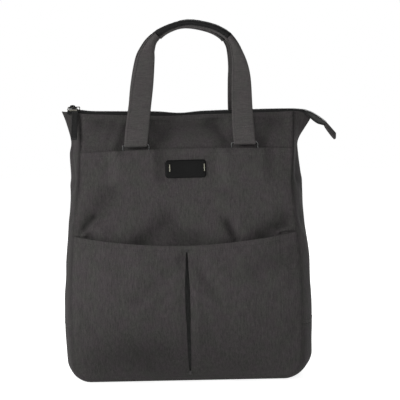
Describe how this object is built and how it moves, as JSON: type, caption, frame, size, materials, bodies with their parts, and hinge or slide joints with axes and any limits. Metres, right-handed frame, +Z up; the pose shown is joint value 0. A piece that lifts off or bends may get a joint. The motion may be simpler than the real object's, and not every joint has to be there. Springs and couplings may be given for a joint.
{
  "type": "convertible backpack",
  "caption": "Soft tote-shaped backpack of melange cloth standing on its base, with two arched carrying handles, a front patch, open pockets, a top zip and two shoulder straps.",
  "frame": {"origin": "middle of the base on the floor", "axes": "+Z up from the base, -Y out of the front with the pockets and the patch, +X to the side of the zip's loose end"},
  "size_m": [0.418, 0.1818, 0.542],
  "materials": {
    "fabric": "grey melange weave, matt",
    "webbing": "grey melange strip with stitched edges",
    "zip": "black woven zip tape and coil",
    "leather": "black leather, fine grain, slight sheen",
    "metal": "polished",
    "dark_metal": "gunmetal"
  },
  "bodies": {
    "root": {"front_panel": "fabric", "back_panel": "fabric", "side_gusset_left": "fabric", "side_gusset_right": "fabric", "base_strip": "fabric", "upper_pocket": "fabric", "lower_pocket": "fabric", "pleat_underlay": "fabric", "zip_end_tab": "fabric", "shoulder_strap_left": "fabric", "shoulder_strap_right": "fabric", "front_leg_left": "webbing", "front_leg_right": "webbing", "front_anchor_left": "webbing", "front_anchor_right": "webbing", "rear_leg_left": "webbing", "rear_leg_right": "webbing", "rear_anchor_left": "webbing", "rear_anchor_right": "webbing", "zip_tape_front": "zip", "zip_tape_rear": "zip", "zip_chain": "zip", "zip_tail": "zip", "patch": "leather", "front_grip": "leather", "rear_grip": "leather", "zip_puller": "leather", "patch_bar_left": "metal", "patch_bar_right": "metal", "zip_pull_ring": "metal", "zip_slider": "dark_metal", "front_ring_left": "dark_metal", "front_ring_right": "dark_metal", "rear_ring_left": "dark_metal", "rear_ring_right": "dark_metal"}
  },
  "joints": []
}
